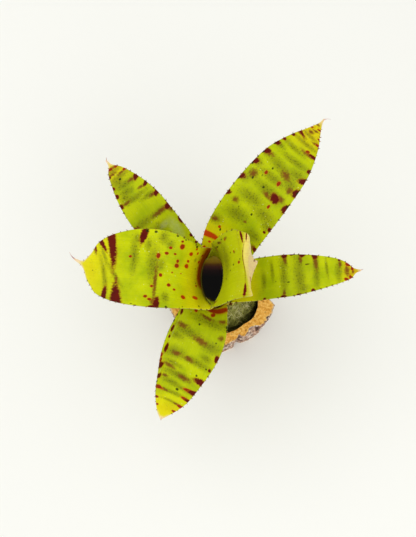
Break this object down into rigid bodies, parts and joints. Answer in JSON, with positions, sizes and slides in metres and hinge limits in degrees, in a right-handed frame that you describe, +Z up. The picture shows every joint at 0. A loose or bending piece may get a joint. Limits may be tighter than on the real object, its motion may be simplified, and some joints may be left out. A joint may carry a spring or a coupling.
{
  "type": "neoregelia bromeliad in a cork tube",
  "caption": "Small rosette bromeliad with strap leaves barred in dark red, water in its cup, rooted in moss inside a short hollow cork branch that stands upright.",
  "frame": {"origin": "middle of the cork tube's foot, on the surface it stands on", "axes": "+Z up along the cork tube, +X to the right and +Y away from someone who looks down at the rosette with the single leaf pointing right"},
  "size_m": [0.1486, 0.1468, 0.1437],
  "materials": {
    "cork": "rough ochre cut cork with grey-pink furrowed bark outside",
    "moss": "matt grey-green strands",
    "stem": "matt",
    "leaf": "smooth satin yellow-green skin with dark red bands and spots",
    "water": "clear dark water"
  },
  "bodies": {
    "root": {"cork_tube": "cork", "moss_plug": "moss", "stem": "stem", "leaf_right": "leaf", "leaf_upper_left": "leaf", "leaf_lower": "leaf", "leaf_upper_right": "leaf", "leaf_left": "leaf", "leaf_heart": "leaf", "cup_water": "water"}
  },
  "joints": []
}
